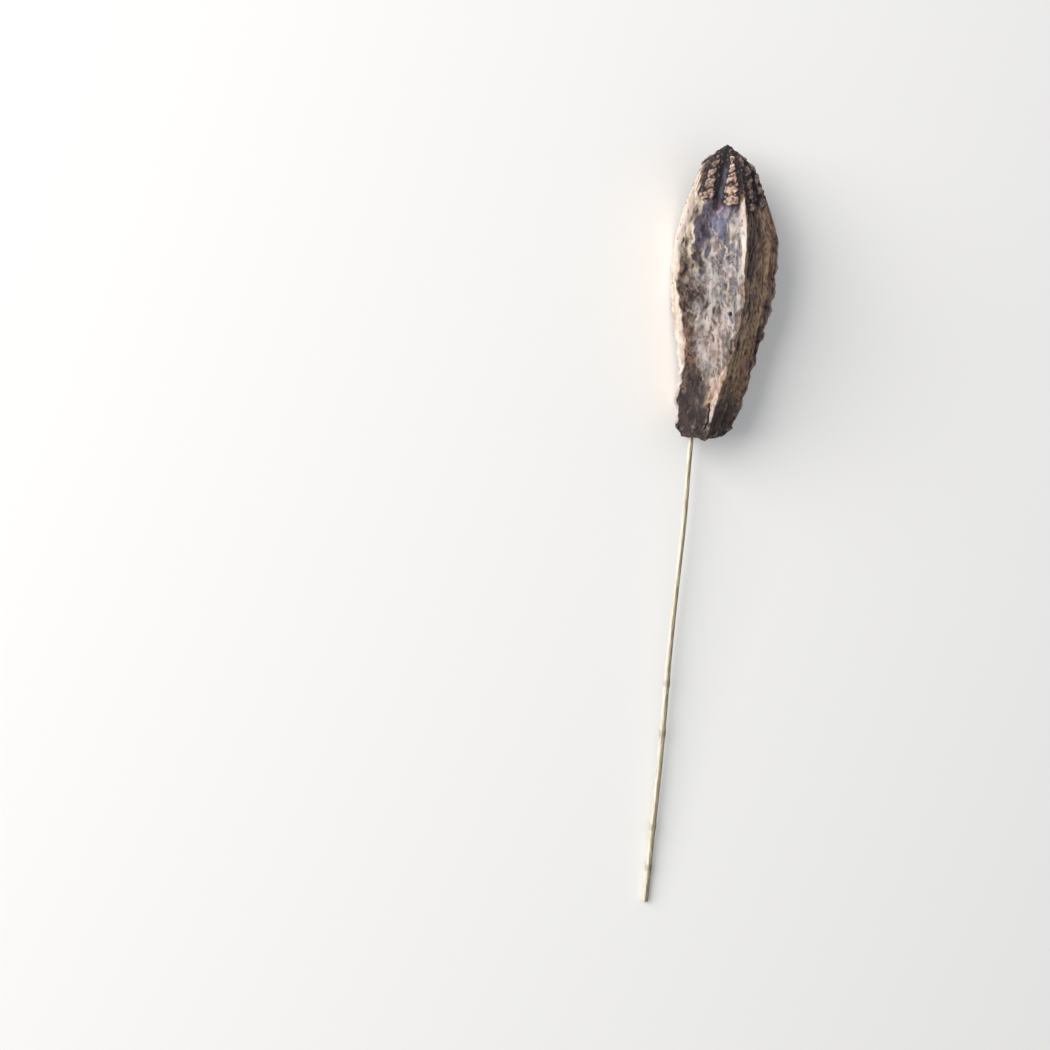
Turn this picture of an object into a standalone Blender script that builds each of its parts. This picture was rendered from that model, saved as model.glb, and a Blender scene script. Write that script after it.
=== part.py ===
"""A dried mahogany seed pod: the five-ribbed woody core of the fruit, on a thin cut twig.

It lies on its two lower ribs and on the cut tip of the twig. +X runs from the pod's apex towards
the twig's tip and +Z is up. The origin is under the middle of the whole piece, on the surface
that it lies on.
"""

import math

import bmesh
import bpy
import numpy as np

# Driving dimensions, in metres and radians
POD_LENGTH = 0.126
RIB_REACH = 0.0249
FACES = 5
TWIG_LENGTH_SHOWN = 0.213
TWIG_DEPTH_IN_POD = 0.020
TWIG_RADIUS_AT_POD = 0.00115
TWIG_RADIUS_AT_TIP = 0.00145
GAP = 0.00035

# The ribs. Shares of the pod's length run from 0 at the apex to 1 at the base
REACH_PROFILE = (
    (0.0, 0.0), (0.03, 0.22), (0.085, 0.535), (0.14, 0.67), (0.22, 0.835), (0.29, 0.965),
    (0.42, 1.0), (0.52, 0.985), (0.60, 0.91), (0.70, 0.785), (0.80, 0.675), (0.87, 0.64),
    (0.94, 0.56), (0.975, 0.52), (1.0, 0.43),
)
TOP_RIB_TURN = math.radians(0.5)
TWIST_PROFILE = ((0.0, 5.0), (0.15, 4.0), (0.35, 0.0), (0.68, 0.0), (0.90, -14.0), (1.0, -15.0))
RIB_LEANS = {
    0: ((0.0, 0.0), (0.08, -4.0), (0.15, -6.5), (0.35, -6.0), (0.50, -4.5), (0.80, -4.0), (1.0, 0.0)),
    4: ((0.0, 0.0), (0.15, 0.0), (0.25, -4.0), (0.34, -7.0), (0.42, -5.0), (0.60, 0.0), (1.0, 2.0)),
}
BOW_PROFILE = (
    (0.0, 0.0), (0.09, 0.0005), (0.16, 0.0010), (0.30, 0.0017), (0.50, 0.0019), (0.62, 0.0022),
    (0.74, 0.0026), (0.88, 0.0012), (1.0, 0.0),
)
BOW_TURN = math.radians(64.5)
SHOULDER_SHARES = (1.0, 0.99, 0.97, 1.0, 1.04)
SHOULDER_AT = 0.14
SHOULDER_WIDTH = 0.09
BASE_SPURS = (0.0010, -0.0012, 0.0008, 0.0006, 0.0001)

# The crests' scallops (waves along the pod, phase from rib to rib, height) and their wandering
SCALLOPS = ((12.0, 2.7, 0.00036), (21.0, 4.3, 0.00024))
WANDER = math.radians(1.3)
WANDER_WAVES = 2.7
WANDER_PHASE = 2.1

# The two lower ribs stand a little lower than the rest, and are worn flat where they lie
LOWER_RIBS = (2, 3)
LOWER_RIB_SHARES = (
    (0.0, 0.86), (0.10, 0.86), (0.20, 0.89), (0.30, 0.895), (0.36, 0.93), (0.41, 0.965),
    (0.46, 0.945), (0.52, 0.925), (0.60, 0.93), (0.70, 0.95), (0.85, 0.97), (1.0, 0.97),
)
WORN_AT = 0.41
WORN_REACH = 0.10
WEAR = 0.0004

# The hollow faces between the ribs, as shares of the rib's reach, and their low middle ridge
HOLLOW_PROFILE = ((0.0, 0.02), (0.12, 0.05), (0.22, 0.09), (0.34, 0.15), (0.60, 0.16), (1.0, 0.10))
HOLLOW_POWER = 0.62
CREST_HALF_WIDTH = 0.0009
MIDDLE_RIDGE = 0.0006
MIDDLE_RIDGE_WIDTH = 0.10

# The seed scars: two rows of raised pads under the apex of each face, with a furrow between them
PANEL_ENDS = (0.215, 0.225, 0.205, 0.225, 0.200)
PADS_IN_ROW = 6
PAD_CROWDING = 0.85
PAD_STAGGER = 0.22
PAD_STAGGER_PHASE = 2.3
PAD_HEIGHT = 0.0015
PAD_FROM_MIDDLE = 0.20
PAD_HALF_WIDTH = 0.17
PANEL_THICKNESS = 0.0009
FURROW_DEPTH = 0.0018
FURROW_WIDTH = 0.06

# The cut base and the socket that the twig is pushed into
BASE_FACE_SHARES = ((0.93, 0.0006), (0.60, 0.0004), (0.28, -0.0003), (0.0, -0.0005))
SOCKET_FROM_AXIS = 0.0040
SOCKET_TURN = math.radians(244.5)
SOCKET_SIDES = 24

# The twig's nodes, from the pod's base, and how far it wanders from straight
TWIG_NODES = (0.112, 0.135, 0.178, 0.197)
TWIG_BEND = 0.0015
TWIG_NODE_SWELL = 0.16
TWIG_NODE_WIDTH = 0.0022
TWIG_WANDER = 0.0003
TWIG_WANDER_TURNS = (55.0, 41.0)
TWIG_STEP = 0.0035

# How finely the surface is made
COLUMNS_PER_FACE = 16
COLUMN_CROWDING = 0.6
RINGS = 62
PANEL_RING_SHARE = 0.42
PANEL_REACH = 0.22


def smooth_curve(points, at):
    """A smooth curve through (position, height) points, read at every position in `at`."""
    x, y = np.array(points).T
    slope = np.gradient(y, x)
    i = np.clip(np.searchsorted(x, at, side="right") - 1, 0, len(x) - 2)
    width = x[i + 1] - x[i]
    s = np.clip((at - x[i]) / width, 0.0, 1.0)
    start = (2 * s**3 - 3 * s**2 + 1) * y[i] + (s**3 - 2 * s**2 + s) * width * slope[i]
    end = (3 * s**2 - 2 * s**3) * y[i + 1] + (s**3 - s**2) * width * slope[i + 1]
    return start + end


def bump(at, middle, width):
    """A bell of height 1."""
    return np.exp(-(((at - middle) / width) ** 2))


def ramp(at, low, high):
    """0 before `low`, 1 after `high`, and smooth between them."""
    s = np.clip((at - low) / (high - low), 0.0, 1.0)
    return s * s * (3 - 2 * s)


def rib_turn(rib, along):
    """The angle of a rib's crest round the axis, from straight up towards +Y."""
    twist = smooth_curve(TWIST_PROFILE, along)
    for leaning, lean in RIB_LEANS.items():
        twist = twist + smooth_curve(lean, along) * (rib == leaning)
    wander = np.sin(math.tau * WANDER_WAVES * along + WANDER_PHASE * rib)
    wander = wander * (1 - bump(along, WORN_AT, WORN_REACH))
    turn = TOP_RIB_TURN + rib * math.tau / FACES + np.radians(twist)
    return turn + WANDER * wander * ramp(along, 0.2, 0.5)


def rib_reach(rib, along):
    """How far a rib's crest stands from the axis."""
    shoulder = 1 + (np.array(SHOULDER_SHARES)[rib] - 1) * bump(along, SHOULDER_AT, SHOULDER_WIDTH)
    lower = np.isin(rib, LOWER_RIBS)
    reach = RIB_REACH * smooth_curve(REACH_PROFILE, along) * shoulder
    reach = reach * np.where(lower, smooth_curve(LOWER_RIB_SHARES, along), 1.0)
    scalloped = ramp(along, 0.22, 0.45) * (1 - bump(along, WORN_AT, WORN_REACH) * lower)
    for waves, phase, height in SCALLOPS:
        reach = reach + scalloped * height * np.sin(math.tau * waves * along + phase * rib)
    return reach


def crest(rib, along):
    """The crest's (y, z) from the axis, in the cross-section at `along`."""
    turn, reach = rib_turn(rib, along), rib_reach(rib, along)
    return np.stack([reach * np.sin(turn), reach * np.cos(turn)], axis=-1)


def axis_shift(along):
    """The pod's slight bow sideways, as (y, z)."""
    bow = smooth_curve(BOW_PROFILE, along)
    return np.stack([bow * math.sin(BOW_TURN), bow * math.cos(BOW_TURN)], axis=-1)


def pads(face, across, along):
    """Height of the seed scars' pads over the face, with the furrow between their rows."""
    panel_end = np.array(PANEL_ENDS)[face]
    side = np.where(across < 0.5, -1.0, 1.0)
    stagger = PAD_STAGGER * np.sin(PAD_STAGGER_PHASE * face + side) * ramp(along, 0.0, 0.06)
    place = (along / panel_end) ** PAD_CROWDING * PADS_IN_ROW + stagger
    in_panel = 1 - ramp(place, PADS_IN_ROW - 0.15, PADS_IN_ROW + 0.1)
    lens = np.abs(np.sin(math.pi * place)) ** 0.7
    sideways = np.clip(1 - ((np.abs(across - 0.5) - PAD_FROM_MIDDLE) / PAD_HALF_WIDTH) ** 2, 0.0, 1.0)
    plate = ramp(across, 0.05, 0.16) * (1 - ramp(across, 0.84, 0.95))
    furrow = bump(across, 0.5, FURROW_WIDTH) * (1 - ramp(along, panel_end, panel_end + 0.03))
    size = ramp(along, 0.0, 0.07)
    raised = in_panel * size * (PANEL_THICKNESS * plate + PAD_HEIGHT * lens * np.sqrt(sideways))
    return raised - FURROW_DEPTH * furrow * size


def face_point(face, across, along):
    """The surface's (y, z) from the axis, on a face between two ribs."""
    left, right = crest(face, along), crest((face + 1) % FACES, along)
    chord = right - left
    length = np.maximum(np.linalg.norm(chord, axis=-1), 1e-6)
    outward = np.stack([-chord[..., 1], chord[..., 0]], axis=-1) / length[..., None]
    edge = np.minimum(CREST_HALF_WIDTH / length, 0.1)
    bed = np.clip((across - edge) / (1 - 2 * edge), 0.0, 1.0)
    hollow = RIB_REACH * smooth_curve(REACH_PROFILE, along) * smooth_curve(HOLLOW_PROFILE, along)
    ridge = MIDDLE_RIDGE * bump(across, 0.5, MIDDLE_RIDGE_WIDTH) * ramp(along, 0.25, 0.45)
    depth = hollow * (4 * bed * (1 - bed)) ** HOLLOW_POWER - ridge
    chord_point = left + chord * across[..., None]
    return chord_point + outward * (pads(face, across, along) - depth)[..., None]


def pod_surface(column, ring):
    """Places the sphere's columns and rings on the pod: ring 0 is the apex, the last the base."""
    face = column // COLUMNS_PER_FACE
    step = column % COLUMNS_PER_FACE / COLUMNS_PER_FACE
    across = step - COLUMN_CROWDING * np.sin(math.tau * step) / math.tau
    side_rings = RINGS - len(BASE_FACE_SHARES)
    share = np.clip(ring / side_rings, 0.0, 1.0)
    in_panel = PANEL_REACH * share / PANEL_RING_SHARE
    below = PANEL_REACH + (1 - PANEL_REACH) * (share - PANEL_RING_SHARE) / (1 - PANEL_RING_SHARE)
    along = np.where(share < PANEL_RING_SHARE, in_panel, below)
    shares, pushes = np.array(((1.0, 0.0),) + BASE_FACE_SHARES).T
    base_ring = np.clip(ring - side_rings, 0, len(BASE_FACE_SHARES))
    spur = np.array(BASE_SPURS)
    at_edge = spur[face] * (1 - across) ** 5 + spur[(face + 1) % FACES] * across**5
    x = POD_LENGTH * along + pushes[base_ring] + at_edge * ramp(along, 0.93, 1.0) * shares[base_ring]
    yz = axis_shift(along) + face_point(face, across, along) * shares[base_ring][:, None]
    return np.column_stack([x, yz])


def material(name, colour, roughness):
    """A dull surface of one colour."""
    made = bpy.data.materials.new(name)
    made.use_nodes = True
    shader = made.node_tree.nodes["Principled BSDF"]
    shader.inputs["Base Color"].default_value = (*colour, 1.0)
    shader.inputs["Roughness"].default_value = roughness
    shader.inputs["Metallic"].default_value = 0.0
    return made


def add(name, data, collection, parent=None):
    """Puts a new object in a collection, under a parent."""
    made = bpy.data.objects.new(name, data)
    collection.objects.link(made)
    made.parent = parent
    return made


def make_pod(collection, parent):
    """A UV sphere whose poles are the pod's apex and the middle of its cut base."""
    columns = FACES * COLUMNS_PER_FACE
    shape = bmesh.new()
    bmesh.ops.create_uvsphere(shape, u_segments=columns, v_segments=RINGS, radius=1.0)
    ball = np.array([v.co for v in shape.verts])
    polar = np.arccos(np.clip(ball[:, 2], -1.0, 1.0))
    round_axis = np.arctan2(ball[:, 1], ball[:, 0])
    ring = np.rint(polar / math.pi * RINGS).astype(int)
    column = np.rint(round_axis / math.tau * columns).astype(int) % columns
    for vertex, place in zip(shape.verts, pod_surface(column, ring)):
        vertex.co = place
    mesh = bpy.data.meshes.new("pod")
    shape.to_mesh(mesh)
    shape.free()
    mesh.shade_smooth()
    mesh.set_sharp_from_angle(angle=math.radians(50))
    mesh.materials.append(material("woody pod", (0.42, 0.32, 0.23), 0.85))
    return add("pod", mesh, collection, parent)


def socket_middle():
    """(y, z) of the twig's line from the pod's axis."""
    return (SOCKET_FROM_AXIS * math.sin(SOCKET_TURN), SOCKET_FROM_AXIS * math.cos(SOCKET_TURN))


def twig_radius(from_base):
    """The twig's radius, which grows towards its tip and swells at its nodes."""
    share = from_base / TWIG_LENGTH_SHOWN
    swell = sum(TWIG_NODE_SWELL * bump(from_base, node, TWIG_NODE_WIDTH) for node in TWIG_NODES)
    taper = TWIG_RADIUS_AT_POD + (TWIG_RADIUS_AT_TIP - TWIG_RADIUS_AT_POD) * np.clip(share, 0.0, 1.0)
    return taper * (1 + swell)


def make_twig(collection, parent):
    """A tapering natural twig with low nodes, cut square at its tip."""
    y, z = socket_middle()
    steps = round((TWIG_LENGTH_SHOWN + TWIG_DEPTH_IN_POD) / TWIG_STEP)
    from_base = np.linspace(-TWIG_DEPTH_IN_POD, TWIG_LENGTH_SHOWN, steps + 1)
    bend = TWIG_BEND * np.clip(from_base / TWIG_LENGTH_SHOWN, 0.0, 1.0) ** 1.5
    free = ramp(from_base, 0.006, 0.04) * (1 - ramp(from_base, 0.16, TWIG_LENGTH_SHOWN))
    sideways = y + bend * math.sin(SOCKET_TURN)
    sideways = sideways + TWIG_WANDER * free * np.sin(TWIG_WANDER_TURNS[0] * from_base)
    upward = z + bend * math.cos(SOCKET_TURN)
    upward = upward + TWIG_WANDER * free * np.sin(TWIG_WANDER_TURNS[1] * from_base)
    curve = bpy.data.curves.new("twig", "CURVE")
    curve.dimensions = "3D"
    curve.bevel_depth = 1.0
    curve.bevel_resolution = 2
    curve.use_fill_caps = True
    spline = curve.splines.new("POLY")
    spline.points.add(steps)
    for point, x, y, z in zip(spline.points, from_base, sideways, upward):
        point.co = (POD_LENGTH + x, y, z, 1.0)
        point.radius = float(twig_radius(x))
    curve.materials.append(material("dry twig", (0.40, 0.35, 0.25), 0.7))
    return add("stem", curve, collection, parent)


def make_socket_cutter(collection, parent):
    """A blind round hole in the base, a little wider and deeper than the twig in it."""
    y, z = socket_middle()
    depth = TWIG_DEPTH_IN_POD + GAP
    overshoot = 6 * TWIG_RADIUS_AT_POD
    radius = (TWIG_RADIUS_AT_POD + GAP) / math.cos(math.pi / SOCKET_SIDES)
    bpy.ops.mesh.primitive_cylinder_add(vertices=SOCKET_SIDES, radius=radius, depth=depth + overshoot)
    cutter = bpy.context.object
    cutter.name = "socket_cutter"
    cutter.rotation_euler = (0.0, math.pi / 2, 0.0)
    cutter.location = (POD_LENGTH + (overshoot - depth) / 2, y, z)
    return as_cutter(cutter, collection, parent)


def make_floor_cutter(collection):
    """A slab under the surface, which wears small flats on the two lower ribs."""
    side = 2 * (POD_LENGTH + TWIG_LENGTH_SHOWN)
    bpy.ops.mesh.primitive_cube_add(size=side, location=(0.0, 0.0, -side / 2))
    cutter = bpy.context.object
    cutter.name = "floor_cutter"
    return as_cutter(cutter, collection, None)


def as_cutter(cutter, collection, parent):
    """Hides a shape that only cuts others."""
    for holder in cutter.users_collection:
        holder.objects.unlink(cutter)
    collection.objects.link(cutter)
    cutter.parent = parent
    cutter.hide_render = True
    cutter.display_type = "WIRE"
    return cutter


def cut(target, cutter):
    """Takes the cutter's volume out of the target."""
    boolean = target.modifiers.new(cutter.name, "BOOLEAN")
    boolean.operation = "DIFFERENCE"
    boolean.solver = "EXACT"
    boolean.object = cutter


def lay_down(holder):
    """Tilts the pod's axis so that the worn feet and the twig's tip share the surface."""
    worn = np.full(len(LOWER_RIBS), WORN_AT)
    feet = crest(np.array(LOWER_RIBS), worn) + axis_shift(worn)
    foot_drop = -feet[:, 1].mean() - WEAR
    foot_x = POD_LENGTH * WORN_AT
    tip_x = POD_LENGTH + TWIG_LENGTH_SHOWN
    tip_drop = TWIG_RADIUS_AT_TIP - socket_middle()[1] - TWIG_BEND * math.cos(SOCKET_TURN)
    tilt = math.atan2(foot_drop - tip_drop, tip_x - foot_x)
    holder.rotation_euler = (0.0, tilt, 0.0)
    holder.location = (0.0, 0.0, foot_drop * math.cos(tilt) + foot_x * math.sin(tilt))


def centre_on_origin(holder, pieces):
    """Moves the whole piece sideways until the middle of its box is over the origin."""
    bpy.context.view_layer.update()
    graph = bpy.context.evaluated_depsgraph_get()
    corners = []
    for piece in pieces:
        shown = piece.evaluated_get(graph)
        mesh = shown.to_mesh()
        corners += [shown.matrix_world @ v.co for v in mesh.vertices]
        shown.to_mesh_clear()
    places = np.array(corners)
    middle = (places.min(axis=0) + places.max(axis=0)) / 2
    holder.location.x -= middle[0]
    holder.location.y -= middle[1]


def new_collection(name):
    made = bpy.data.collections.new(name)
    bpy.context.scene.collection.children.link(made)
    return made


def main():
    for old in list(bpy.data.objects):
        bpy.data.objects.remove(old)
    parts = new_collection("mahogany_seed_pod")
    cutters = new_collection("cutters")
    holder = add("lying_down", None, parts)
    pod = make_pod(parts, holder)
    stem = make_twig(parts, holder)
    cut(pod, make_socket_cutter(cutters, holder))
    lay_down(holder)
    centre_on_origin(holder, (pod, stem))
    cut(pod, make_floor_cutter(cutters))


main()
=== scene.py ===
import math

import bmesh
import bpy
import numpy as np
from mathutils import Matrix, Vector


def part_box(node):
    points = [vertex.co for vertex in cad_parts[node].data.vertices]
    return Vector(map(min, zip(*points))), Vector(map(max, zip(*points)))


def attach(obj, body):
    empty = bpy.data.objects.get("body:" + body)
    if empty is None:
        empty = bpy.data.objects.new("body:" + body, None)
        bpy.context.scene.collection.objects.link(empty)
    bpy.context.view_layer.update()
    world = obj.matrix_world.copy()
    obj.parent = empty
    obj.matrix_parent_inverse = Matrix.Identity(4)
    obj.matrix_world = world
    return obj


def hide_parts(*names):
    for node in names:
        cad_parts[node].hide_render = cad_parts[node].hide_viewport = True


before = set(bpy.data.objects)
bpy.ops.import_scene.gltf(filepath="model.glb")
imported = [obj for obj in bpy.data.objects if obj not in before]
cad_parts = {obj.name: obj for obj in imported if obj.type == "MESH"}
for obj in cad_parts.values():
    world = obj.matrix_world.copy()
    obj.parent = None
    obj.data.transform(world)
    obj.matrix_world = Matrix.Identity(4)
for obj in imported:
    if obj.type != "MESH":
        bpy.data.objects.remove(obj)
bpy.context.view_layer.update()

# Table and light
# The pod lies on a white table in a white room, in soft window light that comes low from its
# left.
TABLE_SIDE = 8.0
TABLE_COLOUR = (0.92, 0.92, 0.92, 1.0)
TABLE_ROUGHNESS = 0.9
ROOM_COLOUR = (0.96, 0.98, 1.0, 1.0)
ROOM_STRENGTH = 0.456
WINDOW_FROM = Vector((-0.30, -1.0, 0.60))
WINDOW_DISTANCE = 2.6
WINDOW_SIDE = 1.8
WINDOW_POWER = 81.6
WINDOW_COLOUR = (1.0, 0.97, 0.93)

bpy.context.scene.view_settings.view_transform = "Standard"


def new_material(name):
    """A material with nodes, and the Principled shader and tree that it starts with."""
    material = bpy.data.materials.new(name)
    material.use_nodes = True
    return material, material.node_tree, material.node_tree.nodes["Principled BSDF"]


def new_object(name, data):
    """An object at the world's origin, in the scene."""
    made = bpy.data.objects.new(name, data)
    bpy.context.scene.collection.objects.link(made)
    return made


table_mesh = bpy.data.meshes.new("table")
table_shape = bmesh.new()
bmesh.ops.create_grid(table_shape, x_segments=1, y_segments=1, size=TABLE_SIDE / 2)
table_shape.to_mesh(table_mesh)
table_shape.free()
table_finish, _, table_shader = new_material("white table")
table_shader.inputs["Base Color"].default_value = TABLE_COLOUR
table_shader.inputs["Roughness"].default_value = TABLE_ROUGHNESS
table_mesh.materials.append(table_finish)
table = new_object("table", table_mesh)

room = bpy.data.worlds.new("white room")
room.use_nodes = True
room.node_tree.nodes["Background"].inputs["Color"].default_value = ROOM_COLOUR
room.node_tree.nodes["Background"].inputs["Strength"].default_value = ROOM_STRENGTH
bpy.context.scene.world = room

pod_low, pod_high = (Vector(corner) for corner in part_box("pod"))
window_light = bpy.data.lights.new("window", "AREA")
window_light.size = WINDOW_SIDE
window_light.energy = WINDOW_POWER
window_light.color = WINDOW_COLOUR
window = new_object("window", window_light)
window.location = (pod_low + pod_high) / 2 + WINDOW_FROM.normalized() * WINDOW_DISTANCE
window.rotation_euler = WINDOW_FROM.to_track_quat("Z", "Y").to_euler()

# The pod
# The dry woody core of a mahogany fruit: five ribs with hollow faces between them, grown as one
# piece. The valves and winged seeds have fallen and left two rows of seed scars on each face.
POD_LENGTH = 0.126
RIB_REACH = 0.0249
FACES = 5
REACH_PROFILE = (
    (0.0, 0.0), (0.03, 0.22), (0.085, 0.535), (0.14, 0.67), (0.22, 0.835), (0.29, 0.965),
    (0.42, 1.0), (0.52, 0.985), (0.60, 0.91), (0.70, 0.785), (0.80, 0.675), (0.87, 0.64),
    (0.94, 0.56), (0.975, 0.52), (1.0, 0.43),
)
TOP_RIB_TURN = math.radians(0.5)
TWIST_PROFILE = ((0.0, 5.0), (0.15, 4.0), (0.35, 0.0), (0.68, 0.0), (0.90, -14.0), (1.0, -15.0))
RIB_LEANS = {
    0: ((0.0, 0.0), (0.08, -4.0), (0.15, -6.5), (0.35, -6.0), (0.50, -4.5), (0.80, -4.0), (1.0, 0.0)),
    4: (
        (0.0, 0.0), (0.10, -5.0), (0.16, -6.5), (0.25, -7.5), (0.34, -9.0), (0.42, -7.0),
        (0.60, -3.0), (0.80, -4.0), (1.0, -1.0),
    ),
}
BOW_PROFILE = (
    (0.0, 0.0), (0.09, 0.0005), (0.16, 0.0010), (0.30, 0.0017), (0.50, 0.0019), (0.62, 0.0022),
    (0.74, 0.0026), (0.88, 0.0012), (1.0, 0.0),
)
BOW_TURN = math.radians(64.5)
SHOULDER_SHARES = (1.0, 0.99, 0.97, 1.0, 1.04)
SHOULDER_AT = 0.14
SHOULDER_WIDTH = 0.09
BASE_SPURS = np.array((0.0010, -0.0012, 0.0008, 0.0006, 0.0001))
SPUR_SHARPNESS = 5
SPURS_GROW = (0.93, 1.0)
SCALLOPS = ((12.0, 2.7, 0.00042), (21.0, 4.3, 0.00028), (47.0, 1.9, 0.00012))
SCALLOPS_GROW = (0.22, 0.45)
SCALLOP_WIDTH = 0.0022
WANDER = math.radians(1.3)
WANDER_GROWS = (0.2, 0.5)
WANDER_WAVES = 2.7
WANDER_PHASE = 2.1
LOWER_RIBS = (2, 3)
LOWER_RIB_SHARES = (
    (0.0, 0.86), (0.10, 0.86), (0.20, 0.89), (0.30, 0.895), (0.36, 0.93), (0.41, 0.965),
    (0.46, 0.945), (0.52, 0.925), (0.60, 0.93), (0.70, 0.95), (0.85, 0.97), (1.0, 0.97),
)
WORN_AT = 0.41
WORN_REACH = 0.10
WEAR = 0.0004
HOLLOW_PROFILE = ((0.0, 0.02), (0.12, 0.05), (0.22, 0.09), (0.34, 0.15), (0.60, 0.16), (1.0, 0.10))
HOLLOW_POWERS = np.array((0.75, 0.68, 0.68, 0.80, 0.92))
CREST_HALF_WIDTH = 0.0009
CREST_LARGEST_SHARE = 0.1
MIDDLE_RIDGE = 0.0006
MIDDLE_RIDGE_WIDTH = 0.10
MIDDLE_RIDGE_GROWS = (0.25, 0.45)
PANEL_ENDS = np.array((0.215, 0.225, 0.205, 0.225, 0.200))
PANEL_END_EDGE = (-0.15, 0.1)
PANEL_SIDE_EDGE = (0.05, 0.16)
PANEL_THICKNESS = 0.0009
PADS_IN_ROW = 6
PADS_GROW = (0.0, 0.07)
PAD_CROWDING = 0.85
PAD_STAGGER = 0.22
PAD_STAGGER_PHASE = 2.3
PAD_STAGGER_GROWS = (0.0, 0.06)
PAD_SLANT = 1.2
PAD_WARP = 0.10
PAD_WARP_TURNS = (40, 9)
PAD_ROUNDING = 0.35
PAD_UNEVENNESS = 0.22
PAD_UNEVEN_PHASES = (5.3, 2.6)
PAD_BLUNTNESS = 0.7
PAD_HEIGHT = 0.0015
PAD_FROM_MIDDLE = 0.235
PAD_SPREAD = 0.06
PAD_SPREAD_ENDS = (0.04, 0.12)
PAD_HALF_WIDTH = 0.17
FURROW_DEPTH = 0.0018
FURROW_WIDTH = 0.072
FURROW_FADE = 0.03
SMOOTH_FACE = 3
SMOOTH_FROM = 0.45
SMOOTH_WIDENING = 0.40
SMOOTH_WIDENS = (0.04, 0.09)
SMOOTH_FADE = 0.16
SMOOTH_GROWS = (0.03, 0.09)
SMOOTH_WEAR = 0.8
BASE_FACE_PUSHES = ((0.0, -0.0005), (0.28, -0.0003), (0.60, 0.0004), (0.93, 0.0006), (1.0, 0.0))
SOCKET_FROM_AXIS = 0.0040
SOCKET_TURN = math.radians(244.5)
SOCKET_DEPTH = 0.02035
TWIG_LENGTH_SHOWN = 0.213
TWIG_RADIUS_AT_POD = 0.00115
TWIG_RADIUS_AT_TIP = 0.00145
TWIG_BEND = 0.0015
GAP = 0.00035
COLUMNS_PER_FACE = 60
COLUMN_CROWDING = 0.3
SIDE_RINGS, END_RINGS, WALL_RINGS, BOTTOM_RINGS = 284, 12, 10, 4
PANEL_RING_SHARE = 0.32
PANEL_REACH = 0.23


def smooth_curve(points, at):
    """A smooth curve through (position, height) points, read at every position in `at`."""
    x, y = np.array(points).T
    slope = np.gradient(y, x)
    i = np.clip(np.searchsorted(x, at, side="right") - 1, 0, len(x) - 2)
    width = x[i + 1] - x[i]
    s = np.clip((at - x[i]) / width, 0.0, 1.0)
    start = (2 * s**3 - 3 * s**2 + 1) * y[i] + (s**3 - 2 * s**2 + s) * width * slope[i]
    end = (3 * s**2 - 2 * s**3) * y[i + 1] + (s**3 - s**2) * width * slope[i + 1]
    return start + end


def bump(at, middle, width):
    """A bell of height 1."""
    return np.exp(-(((at - middle) / width) ** 2))


def ramp(at, low, high):
    """0 before `low`, 1 after `high`, and smooth between them."""
    s = np.clip((at - low) / (high - low), 0.0, 1.0)
    return s * s * (3 - 2 * s)


def rib_turn(rib, along):
    """The angle of a rib's crest round the axis, from straight up towards +Y."""
    twist = smooth_curve(TWIST_PROFILE, along)
    for leaning, lean in RIB_LEANS.items():
        twist = twist + smooth_curve(lean, along) * (rib == leaning)
    wander = np.sin(math.tau * WANDER_WAVES * along + WANDER_PHASE * rib)
    wander = wander * (1 - bump(along, WORN_AT, WORN_REACH))
    turn = TOP_RIB_TURN + rib * math.tau / FACES + np.radians(twist)
    return turn + WANDER * wander * ramp(along, *WANDER_GROWS)


def rib_reach(rib, along):
    """How far a rib's crest stands from the axis."""
    shoulder = 1 + (np.array(SHOULDER_SHARES)[rib] - 1) * bump(along, SHOULDER_AT, SHOULDER_WIDTH)
    lower = np.isin(rib, LOWER_RIBS)
    reach = RIB_REACH * smooth_curve(REACH_PROFILE, along) * shoulder
    return reach * np.where(lower, smooth_curve(LOWER_RIB_SHARES, along), 1.0)


def scallop(rib, along):
    """How far the scalloped edge of a rib stands out beyond its smooth crest."""
    worn = bump(along, WORN_AT, WORN_REACH) * np.isin(rib, LOWER_RIBS)
    waves = sum(
        height * np.sin(math.tau * turns * along + phase * rib) for turns, phase, height in SCALLOPS
    )
    return waves * ramp(along, *SCALLOPS_GROW) * (1 - worn)


def crest(rib, along):
    """The crest's (y, z) from the axis, in the cross-section at `along`."""
    turn, reach = rib_turn(rib, along), rib_reach(rib, along)
    return np.stack([reach * np.sin(turn), reach * np.cos(turn)], axis=-1)


def axis_shift(along):
    """The pod's slight bow sideways, as (y, z)."""
    bow = smooth_curve(BOW_PROFILE, along)
    return np.stack([bow * math.sin(BOW_TURN), bow * math.cos(BOW_TURN)], axis=-1)


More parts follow.
